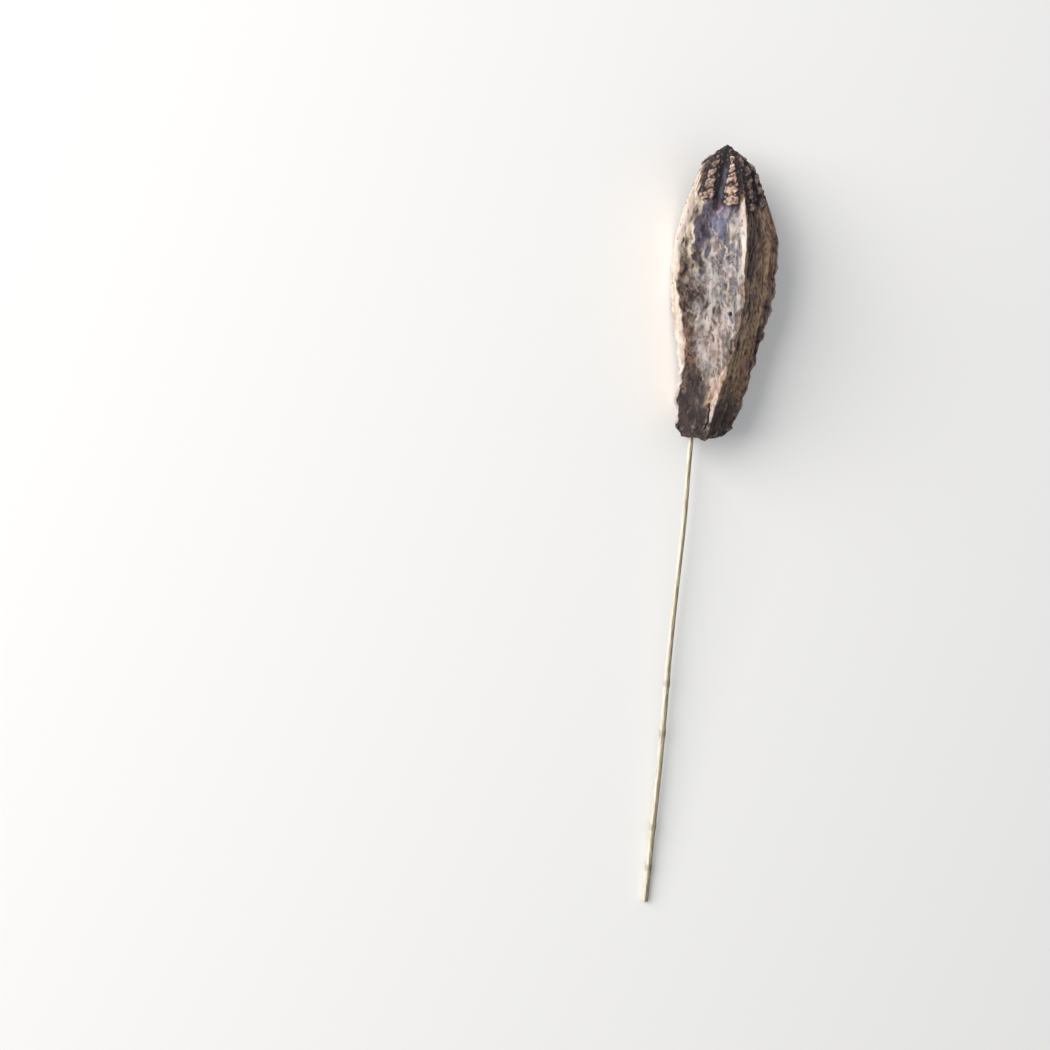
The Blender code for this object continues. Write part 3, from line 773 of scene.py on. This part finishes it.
rough = patterns(relief, place, RELIEF_PATTERNS)
pits = sharpen(relief, rough["pits"], *PIT_EDGE, 0.0, -1.0)
crumbs = sum_up(relief, "SUBTRACT", SCAR_CRUMB_REACH, crumble(relief, place, SCAR_CRUMB)[0])
wrinkles = sum_up(relief, "ABSOLUTE", centred(noise(relief, slanted, *WRINKLE_NOISE)))
wrinkles = sum_up(relief, "SUBTRACT", WRINKLE_HALF_WIDTH, wrinkles)
off_panel, smooth_slate = without("panel"), without("slate")
RELIEF_PARTS = (
    ("Rope height", centred(rough["ropes"]), off_panel, smooth_slate),
    ("Knob height", centred(rough["knobs"]), off_panel, without("edge")),
    ("Fibre height", centred(rough["fibres"]), off_panel, smooth_slate),
    ("Pit depth", pits, off_panel, smooth_slate),
    ("Crest chip depth", centred(rough["chips"]), field(relief, "edge"), off_panel),
    ("Scar crumb height", crumbs, field(relief, "panel"), without("furrow")),
    ("Wrinkle height", wrinkles, field(relief, "wrinkled"), off_panel),
    ("Cut end grain", centred(rough["rough end"]), field(relief, "cut_end"), 1.0),
    ("Hole depth", -1.0, field(relief, "hole"), 1.0),
)
total = 0.0
for name, amount, mask, other_mask in RELIEF_PARTS:
    part = sum_up(relief, "MULTIPLY", size[name], amount)
    part = sum_up(relief, "MULTIPLY", sum_up(relief, "MULTIPLY", part, mask), other_mask)
    total = sum_up(relief, "ADD", total, part)
total = sum_up(relief, "MULTIPLY", total, field(relief, "loose"))
normal = node(relief, "GeometryNodeInputNormal", {}).outputs[0]
moved = node(relief, "ShaderNodeVectorMath", {0: normal, "Scale": total}, operation="SCALE").outputs[0]
raised = node(relief, "GeometryNodeSetPosition", {"Geometry": size["Geometry"], "Offset": moved})
finish_tree(relief, raised.outputs[0], pod_finish, relief_out)
pod.data = apply_tree(pod, relief, RELIEF)

# Where the skin is hollow, dirt and painted shade darken it, and on its bumps wear and a painted highlight
# lighten it: each point is set against its neighbours
FINE_ROUNDS, BROAD_ROUNDS = 3, 16
HOLLOW_SPREAD = 4.0
points = np.empty(len(pod.data.vertices) * 3, dtype=np.float32)
pod.data.vertices.foreach_get("co", points)
points = points.reshape(-1, 3).astype(float)
points[:, 2] = np.maximum(points[:, 2], 0.0)
pod.data.vertices.foreach_set("co", points.astype(np.float32).ravel())
edges = np.empty(len(pod.data.edges) * 2, dtype=np.int32)
pod.data.edges.foreach_get("vertices", edges)
one, other = edges.reshape(-1, 2).T
neighbours = np.bincount(np.concatenate([one, other]), minlength=len(points))


def averaged(values):
    """Each point's mean over its neighbours."""
    ends = np.concatenate([one, other])
    starts = np.concatenate([other, one])
    sums = [np.bincount(ends, weights=values[starts, axis], minlength=len(points)) for axis in range(3)]
    return np.stack(sums, axis=-1) / neighbours[:, None]


def normals_of(mesh):
    """Which way each of a mesh's points faces."""
    normals = np.empty(len(mesh.vertices) * 3, dtype=np.float32)
    mesh.vertices.foreach_get("normal", normals)
    return normals.reshape(-1, 3)


hollow = 0.0
smoothed = points
for rounds in (FINE_ROUNDS, BROAD_ROUNDS):
    for _ in range(rounds):
        smoothed = averaged(smoothed)
    depth = ((smoothed - points) * normals_of(pod.data)).sum(axis=1)
    hollow = hollow + np.clip(depth / np.median(np.abs(depth)) / HOLLOW_SPREAD, -1, 1) / 2
add_field(pod.data, "hollow", hollow)
pod.data.shade_smooth()


def paint(red, green, blue):
    """A colour as a paint chart gives it, out of 255, as the shader's linear colour."""
    share = np.array((red, green, blue)) / 255
    linear = np.where(share < 0.04045, share / 12.92, ((share + 0.055) / 1.055) ** 2.4)
    return (*linear, 1.0)


def blend(tree, share, under, over, how="MIX"):
    """Lays one colour over another."""
    inputs = {0: share, 6: under, 7: over}
    return node(tree, "ShaderNodeMix", inputs, data_type="RGBA", blend_type=how).outputs[2]


def read(tree, name):
    """One of the piece's own fields, read in a material."""
    return node(tree, "ShaderNodeAttribute", {}, attribute_name=name).outputs["Fac"]


# Each finish is a deep and a pale colour, laid over the straw ground in the order of the layers
STRAW = (paint(104, 82, 67), paint(178, 150, 124))
CREST_CREAM = (paint(182, 163, 156), paint(219, 206, 198))
SCAR_TAN = (paint(98, 74, 61), paint(176, 138, 113))
SCAR_CREAM = (paint(130, 106, 94), paint(220, 194, 178))
# The cut end's dark wood, painted darker still as shade
SHADED_CUT_END = (paint(32, 25, 23), paint(80, 65, 56))
BLUE_GREY, PINK_GREY = paint(94, 99, 121), paint(174, 152, 143)
# The last colour here is painted shade, near black inside the small hole and the slit
FURROW_BLACK, FURROW_BLUE, HOLE_SHADE = paint(24, 32, 43), paint(74, 78, 98), paint(20, 17, 18)
BLACK_BROWN = (paint(28, 28, 35), paint(61, 46, 43))
LAYERS = {
    "cream": (paint(198, 178, 158), paint(226, 213, 198)),
    "orange": (paint(80, 57, 48), paint(151, 117, 97)),
    "grey": (paint(95, 88, 84), paint(174, 167, 164)),
    "olive": (paint(96, 85, 72), paint(191, 178, 159)),
    "pale": (paint(137, 112, 106), paint(207, 184, 176)),
    "brown": (paint(36, 30, 30), paint(70, 58, 56)),
    "umber": (paint(32, 23, 26), paint(119, 98, 91)),
    "slate": (paint(60, 59, 79), paint(111, 108, 131)),
    "plum": (paint(35, 29, 40), paint(78, 69, 87)),
    "lilac": (paint(104, 88, 112), paint(158, 138, 160)),
    "dark": (paint(33, 26, 25), paint(78, 63, 57)),
}

# How far each is squeezed along the pod to draw it out, its size, detail, roughness, distortion
PAINT_PATTERNS = {
    "patches": (0.5, 0.008, 4.0, 0.55, 0.0),
    "tints": (0.6, 0.0055, 3.0, 0.55, 0.4),
    "flecks": (0.7, 0.0027, 2.0, 0.5, 0.4),
    "blotches": (0.62, 0.0040, 3.0, 0.52, 0.3),
    "speckles": (1.0, 0.0012, 2.0, 0.6, 0.0),
    "grains": (0.7, 0.0014, 2.0, 0.5, 0.3),
    "fibres": (0.06, 0.0006, 2.0, 0.5, 0.1),
    "streaks": (0.06, 0.0019, 2.0, 0.5, 0.2),
    "worms": (0.40, 0.0026, 3.0, 0.55, 1.6),
}
TONE_START, TONE_WEIGHTS = -0.75, {"blotches": 1.1, "streaks": 0.7, "grains": 0.7}
# Painted shade: the tone darkens where the skin is hollow
TONE_FROM_HOLLOW = -0.25
TONE_EDGE = (0.2, 0.8)
EDGE_NOISE_START, EDGE_NOISE_WEIGHTS = -0.8, {"blotches": 1.2, "speckles": 0.4}
RAGGEDNESS = {
    "cream": 0.5, "orange": 0.7, "grey": 0.7, "olive": 0.9, "pale": 0.8, "brown": 0.7, "umber": 0.9,
    "slate": 0.9, "plum": 0.9, "lilac": 0.9, "dark": 1.2, "crest": 0.8, "panel": 0.8, "scar": 0.9,
    "bloom": 1.2,
}
RAGGED_EDGE, SCAR_EDGE = (0.24, 0.76), (0.26, 0.66)
# Where a pattern starts and ends to show, and how strongly it shows at both
CREAMY_FLECKS = (0.36, 0.46, 0.45, 0.0)
BLUISH_FLECKS = (0.52, 0.62, 0.0, 0.60)
PINKISH_TINTS = (0.36, 0.48, 0.4, 0.0)
WORM_STAIN = 0.24
WORM_EDGE = (0.68, 0.75, 0.0, 0.7)
PATCH_EDGE = (0.38, 0.62)
CRUMB_EDGE = (0.46, 0.84)
FURROW_EDGE = (0.03, 0.3, 0.0, 0.9)
FIBRE_SHADES = (0.3, 0.7, 0.88, 1.06)
# Dirt and painted shade in the hollows, wear and a painted highlight on the bumps
DIRT_AND_SHADE = (0.1, 0.9, 0.0, 0.55)
WEAR_AND_HIGHLIGHT = (-0.9, -0.2, 0.15, 0.0)
END_TONE = (0.35, 0.70)
# Painted shade: the cut end darkens where it is hollow
END_TONE_FROM_HOLLOW = -0.2
END_EDGE = (0.6, 0.95)
SLATE_ROUGHNESS = (0.3, 0.8, 0.82, 0.55)
POD_SHEEN = 0.35
SKIN_BUMP = {"Strength": 0.45, "Distance": 0.0002}

here = node(pod_paint, "ShaderNodeTexCoord", {}).outputs["Object"]
drawn = patterns(pod_paint, here, PAINT_PATTERNS)
crumb_gap, crumb_shade = crumble(pod_paint, here, SCAR_CRUMB)
hollow_here = read(pod_paint, "hollow")


def more(amount, weight, start):
    """Adds an amount, times its weight, to a start."""
    return sum_up(pod_paint, "MULTIPLY_ADD", amount, weight, start)


def weighed(start, weights):
    """Adds patterns to a start, each times its own weight."""
    total = start
    for name, weight in weights.items():
        total = more(drawn[name], weight, total)
    return total


def scaled(amount, by):
    """One amount times another."""
    return sum_up(pod_paint, "MULTIPLY", amount, by)


# Painted shade: the mottled tone darkens in the skin's hollows
tone = more(hollow_here, TONE_FROM_HOLLOW, weighed(TONE_START, TONE_WEIGHTS))
tone = sharpen(pod_paint, tone, *TONE_EDGE)
edge_noise = weighed(EDGE_NOISE_START, EDGE_NOISE_WEIGHTS)


def ragged(name, edge=RAGGED_EDGE):
    """A field's area, with an edge broken up by noise."""
    return sharpen(pod_paint, more(edge_noise, RAGGEDNESS[name], read(pod_paint, name)), *edge)


def mottle(colours, share):
    """A finish between its deep and its pale colour."""
    return blend(pod_paint, share, *colours)


skin = mottle(STRAW, tone)
for name, colours in LAYERS.items():
    skin = blend(pod_paint, ragged(name), skin, mottle(colours, tone))
flecked = read(pod_paint, "flecked")
creamy = scaled(sharpen(pod_paint, drawn["flecks"], *CREAMY_FLECKS), flecked)
skin = blend(pod_paint, creamy, skin, CREST_CREAM[1])
bluish = scaled(sharpen(pod_paint, drawn["flecks"], *BLUISH_FLECKS), flecked)
skin = blend(pod_paint, bluish, skin, BLUE_GREY)
pinkish = scaled(sharpen(pod_paint, drawn["tints"], *PINKISH_TINTS), read(pod_paint, "grey"))
skin = blend(pod_paint, pinkish, skin, PINK_GREY)
worm_reach = more(read(pod_paint, "stain"), WORM_STAIN, drawn["worms"])
skin = blend(pod_paint, sharpen(pod_paint, worm_reach, *WORM_EDGE), skin, BLACK_BROWN[1])
patchy = sharpen(pod_paint, drawn["patches"], *PATCH_EDGE)
skin = blend(pod_paint, ragged("crest"), skin, mottle(CREST_CREAM, patchy))

panel_area = ragged("panel")
skin = blend(pod_paint, panel_area, skin, mottle(BLACK_BROWN, tone))
crumb_tints = node(pod_paint, "ShaderNodeSeparateColor", {0: crumb_shade}).outputs
crumb_tone = scaled(crumb_tints[0], read(pod_paint, "scar_paleness"))
tan_crumb, cream_crumb = mottle(SCAR_TAN, crumb_tone), mottle(SCAR_CREAM, crumb_tone)
crumb_colour = blend(pod_paint, crumb_tints[1], tan_crumb, cream_crumb)
between_crumbs = sharpen(pod_paint, crumb_gap, *CRUMB_EDGE)
crumb_colour = blend(pod_paint, between_crumbs, crumb_colour, BLACK_BROWN[1])
skin = blend(pod_paint, ragged("scar", SCAR_EDGE), skin, crumb_colour)
furrow_area = scaled(sharpen(pod_paint, read(pod_paint, "furrow"), *FURROW_EDGE), panel_area)
skin = blend(pod_paint, furrow_area, skin, FURROW_BLACK)
bloom_area = scaled(ragged("bloom"), panel_area)
skin = blend(pod_paint, bloom_area, skin, FURROW_BLUE)

fibre_shade = sharpen(pod_paint, drawn["fibres"], *FIBRE_SHADES)
fibre_tint = dict.fromkeys(("Red", "Green", "Blue"), fibre_shade)
fibre_tint = node(pod_paint, "ShaderNodeCombineColor", fibre_tint).outputs[0]
skin = blend(pod_paint, 1.0, skin, fibre_tint, "MULTIPLY")
# Dirt and painted shade darken the hollows; wear and a painted highlight lighten the bumps
dirt_and_painted_shade = sharpen(pod_paint, hollow_here, *DIRT_AND_SHADE)
skin = blend(pod_paint, dirt_and_painted_shade, skin, BLACK_BROWN[1])
wear_and_painted_highlight = sharpen(pod_paint, hollow_here, *WEAR_AND_HIGHLIGHT)
skin = blend(pod_paint, wear_and_painted_highlight, skin, CREST_CREAM[1])
# The cut end's dark wood with painted shade, darker in its hollows
end_tone = more(hollow_here, END_TONE_FROM_HOLLOW, drawn["grains"])
end_tone = sharpen(pod_paint, end_tone, *END_TONE)
end_area = sharpen(pod_paint, read(pod_paint, "cut_end"), *END_EDGE)
skin = blend(pod_paint, end_area, skin, mottle(SHADED_CUT_END, end_tone))
# Painted shade: the small hole and the slit are painted near black
skin = blend(pod_paint, read(pod_paint, "hole"), skin, HOLE_SHADE)
# Painted shade: the inside of the socket is painted black-brown
skin = blend(pod_paint, read(pod_paint, "in_socket"), skin, BLACK_BROWN[1])
feed(pod_paint, pod_shader.inputs["Base Color"], skin)
roughness = sharpen(pod_paint, read(pod_paint, "slate"), *SLATE_ROUGHNESS)
feed(pod_paint, pod_shader.inputs["Roughness"], roughness)
pod_shader.inputs["Specular IOR Level"].default_value = POD_SHEEN
fine_relief = sum_up(pod_paint, "ADD", drawn["fibres"], drawn["speckles"])
raising = node(pod_paint, "ShaderNodeBump", {**SKIN_BUMP, "Height": fine_relief})
feed(pod_paint, pod_shader.inputs["Normal"], raising.outputs[0])

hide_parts("pod")
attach(pod, "root")

# The twig
# A thin natural twig, dried and peeled, pushed and glued into a hole off the middle of the pod's
# cut base. It thickens a little towards its square-cut tip and has four low nodes.
TWIG_DEPTH_IN_POD = 0.020
TWIG_NODES = (0.112, 0.135, 0.178, 0.197)
TWIG_NODE_SWELL = 0.16
TWIG_NODE_WIDTH = 0.0022
TWIG_BEND_POWER = 1.5
TWIG_WANDER = 0.0003
TWIG_WANDER_TURNS = (55.0, 41.0)
TWIG_WANDER_RUN = (0.006, 0.04, 0.16, TWIG_LENGTH_SHOWN)
TWIG_BARK_RUN = (0.004, 0.02, 0.200, TWIG_LENGTH_SHOWN)
TWIG_TIP_ROUNDING = 0.10
TWIG_TIP_ROUND_LENGTH = 0.0006
TWIG_CUT_EDGE = 0.0003
TWIG_STEP = 0.0006

from_base = np.arange(-TWIG_DEPTH_IN_POD, TWIG_LENGTH_SHOWN, TWIG_STEP)
from_base = np.append(from_base, TWIG_LENGTH_SHOWN)
down_twig = np.clip(from_base / TWIG_LENGTH_SHOWN, 0.0, 1.0)
bend = TWIG_BEND * down_twig**TWIG_BEND_POWER
free = between(from_base, *TWIG_WANDER_RUN)
sway = TWIG_WANDER * free * np.sin(np.outer(TWIG_WANDER_TURNS, from_base))
twig_y = socket[0] + bend * math.sin(SOCKET_TURN) + sway[0]
twig_z = socket[1] + bend * math.cos(SOCKET_TURN) + sway[1]
knot = sum(bump(from_base, at, TWIG_NODE_WIDTH) for at in TWIG_NODES)
taper = TWIG_RADIUS_AT_POD + (TWIG_RADIUS_AT_TIP - TWIG_RADIUS_AT_POD) * down_twig
near_tip = ramp(from_base, TWIG_LENGTH_SHOWN - TWIG_TIP_ROUND_LENGTH, TWIG_LENGTH_SHOWN)
twig_line = bpy.data.meshes.new("twig line")
twig_places = lie_down(POD_LENGTH + from_base, twig_y, twig_z)
twig_line.from_pydata(twig_places.tolist(), [(i, i + 1) for i in range(len(from_base) - 1)], [])
thickness = taper * (1 + TWIG_NODE_SWELL * knot) * (1 - TWIG_TIP_ROUNDING * near_tip)
add_field(twig_line, "thickness", thickness)
add_field(twig_line, "knot", knot)
add_field(twig_line, "bare", between(from_base, *TWIG_BARK_RUN))
add_field(twig_line, "tip", ramp(from_base, TWIG_LENGTH_SHOWN - TWIG_CUT_EDGE, TWIG_LENGTH_SHOWN))
twig = new_object("twig_bark", twig_line)

# Sides round the twig, and the relief of its bark and knots
TWIG_SIZES = {"Sides": 28.0, "Bark height": 0.00012, "Knot height": 0.00018}
BARK_PATTERNS = {"bark": (0.12, 0.0007, 3.0, 0.6, 0.0), "knots": (1.0, 0.0016, 2.0, 0.55, 0.0)}
KNOT_SINK = 0.35
CUT_ANGLE = math.radians(50)

twig_finish, twig_paint, twig_shader = new_material("dry peeled twig")
sweep, sweep_in, sweep_out = geometry_tree("Twig bark", TWIG_SIZES)
sizes = sweep_in.outputs
path = node(sweep, "GeometryNodeMeshToCurve", {"Mesh": sizes["Geometry"]}).outputs[0]
ring_profile = node(sweep, "GeometryNodeCurvePrimitiveCircle", {"Resolution": sizes["Sides"], "Radius": 1.0})
swept = node(sweep, "GeometryNodeCurveToMesh", {
    "Curve": path, "Profile Curve": ring_profile.outputs[0], "Scale": field(sweep, "thickness"),
    "Fill Caps": True,
}).outputs[0]
twig_place = node(sweep, "GeometryNodeInputPosition", {}).outputs[0]
bark_rough = patterns(sweep, twig_place, BARK_PATTERNS)
bark = sum_up(sweep, "SUBTRACT", bark_rough["bark"], 0.5)
bark = sum_up(sweep, "MULTIPLY", bark, sizes["Bark height"])
lumps = sum_up(sweep, "SUBTRACT", bark_rough["knots"], KNOT_SINK)
lumps = sum_up(sweep, "MULTIPLY", lumps, sizes["Knot height"])
lumps = sum_up(sweep, "MULTIPLY", lumps, field(sweep, "knot"))
relief_sum = sum_up(sweep, "MULTIPLY", sum_up(sweep, "ADD", bark, lumps), field(sweep, "bare"))
twig_normal = node(sweep, "GeometryNodeInputNormal", {}).outputs[0]
twig_moved = node(sweep, "ShaderNodeVectorMath", {0: twig_normal, "Scale": relief_sum}, operation="SCALE")
barked = node(sweep, "GeometryNodeSetPosition", {"Geometry": swept, "Offset": twig_moved.outputs[0]})
finish_tree(sweep, barked.outputs[0], twig_finish, sweep_out)
twig.data = apply_tree(twig, sweep, TWIG_SIZES)
twig.data.shade_smooth()
twig.data.set_sharp_from_angle(angle=CUT_ANGLE)

# Painted light: one side of the twig is painted paler, as if lit, the side towards which its socket stands
# off the pod's axis
TWIG_OLIVE, TWIG_PALE, TWIG_DARK = paint(110, 102, 82), paint(172, 161, 135), paint(82, 72, 60)
# Painted light: the paler colours of the twig's lit side
TWIG_LIT_SIDE = (paint(196, 187, 164), paint(232, 226, 210))
LIT_SIDE_TURN = math.radians(244.5)
LIT_SIDE_FROM, LIT_SIDE_TO = -0.15, 0.45
TWIG_PAINT_PATTERNS = {"grain": (0.06, 0.0005, 3.0, 0.6, 0.0), "patches": (0.25, 0.003, 4.0, 0.6, 0.0)}
GRAIN_EDGE = (0.35, 0.65)
DARK_PATCHES = (0.52, 0.66, 0.0, 0.6)
KNOT_SHADE = (0.3, 0.9, 0.0, 0.3)
TWIG_ROUGHNESS = 0.6
TWIG_BUMP = {"Strength": 0.4, "Distance": 0.0001}

lit_side_direction = math.sin(LIT_SIDE_TURN) * Vector((0.0, 1.0, 0.0)) + math.cos(LIT_SIDE_TURN) * axis_up
painted_light_side = ramp(normals_of(twig.data) @ np.array(lit_side_direction), LIT_SIDE_FROM, LIT_SIDE_TO)
add_field(twig.data, "painted_light_side", painted_light_side)

twig_here = node(twig_paint, "ShaderNodeTexCoord", {}).outputs["Object"]
twig_drawn = patterns(twig_paint, twig_here, TWIG_PAINT_PATTERNS)
grain_tone = sharpen(twig_paint, twig_drawn["grain"], *GRAIN_EDGE)
bark_colour = blend(twig_paint, grain_tone, TWIG_OLIVE, TWIG_PALE)
dark_patches = sharpen(twig_paint, twig_drawn["patches"], *DARK_PATCHES)
bark_colour = blend(twig_paint, dark_patches, bark_colour, TWIG_DARK)
lit_side_colour = blend(twig_paint, grain_tone, *TWIG_LIT_SIDE)
# Painted light: the lit side's paler colour is laid over the bark
bark_colour = blend(twig_paint, read(twig_paint, "painted_light_side"), bark_colour, lit_side_colour)
knot_shade = sharpen(twig_paint, read(twig_paint, "knot"), *KNOT_SHADE)
bark_colour = blend(twig_paint, knot_shade, bark_colour, TWIG_DARK)
bark_colour = blend(twig_paint, read(twig_paint, "tip"), bark_colour, TWIG_PALE)
feed(twig_paint, twig_shader.inputs["Base Color"], bark_colour)
twig_shader.inputs["Roughness"].default_value = TWIG_ROUGHNESS
twig_bump = node(twig_paint, "ShaderNodeBump", {**TWIG_BUMP, "Height": twig_drawn["grain"]})
feed(twig_paint, twig_shader.inputs["Normal"], twig_bump.outputs[0])

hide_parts("stem")
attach(twig, "root")

# The view
# The camera looks down on the pod from the side that the photograph shows, with the apex at the
# top.
PHOTO_SIDE = 1050
APEX_IN_PHOTO = (727.5, 144.0)
LENS, FILM = 85.0, 36.0
APEX_FROM_CAMERA = 1.065
OFF_TOP_RIB = math.radians(-25.5)
TOWARDS_APEX = math.radians(9.0)
LEAN_IN_PHOTO = math.radians(4.7)

camera_out = math.cos(OFF_TOP_RIB) * axis_up + math.sin(OFF_TOP_RIB) * Vector((0.0, 1.0, 0.0))
camera_right = -math.sin(OFF_TOP_RIB) * axis_up + math.cos(OFF_TOP_RIB) * Vector((0.0, 1.0, 0.0))
camera_up = -math.cos(TOWARDS_APEX) * axis_down - math.sin(TOWARDS_APEX) * camera_out
camera_out = math.cos(TOWARDS_APEX) * camera_out - math.sin(TOWARDS_APEX) * axis_down
leaning_right = math.cos(LEAN_IN_PHOTO) * camera_right + math.sin(LEAN_IN_PHOTO) * camera_up
leaning_up = math.cos(LEAN_IN_PHOTO) * camera_up - math.sin(LEAN_IN_PHOTO) * camera_right
slope_right = (APEX_IN_PHOTO[0] / PHOTO_SIDE - 0.5) * FILM / LENS
slope_up = (0.5 - APEX_IN_PHOTO[1] / PHOTO_SIDE) * FILM / LENS
to_apex = leaning_right * slope_right + leaning_up * slope_up - camera_out
camera_data = bpy.data.cameras.new("camera")
camera_data.lens = LENS
camera_data.sensor_width = FILM
camera = new_object("camera", camera_data)
camera_turn = Matrix((leaning_right, leaning_up, camera_out)).transposed().to_4x4()
camera.matrix_world = Matrix.Translation(apex - to_apex * APEX_FROM_CAMERA) @ camera_turn
bpy.context.scene.camera = camera
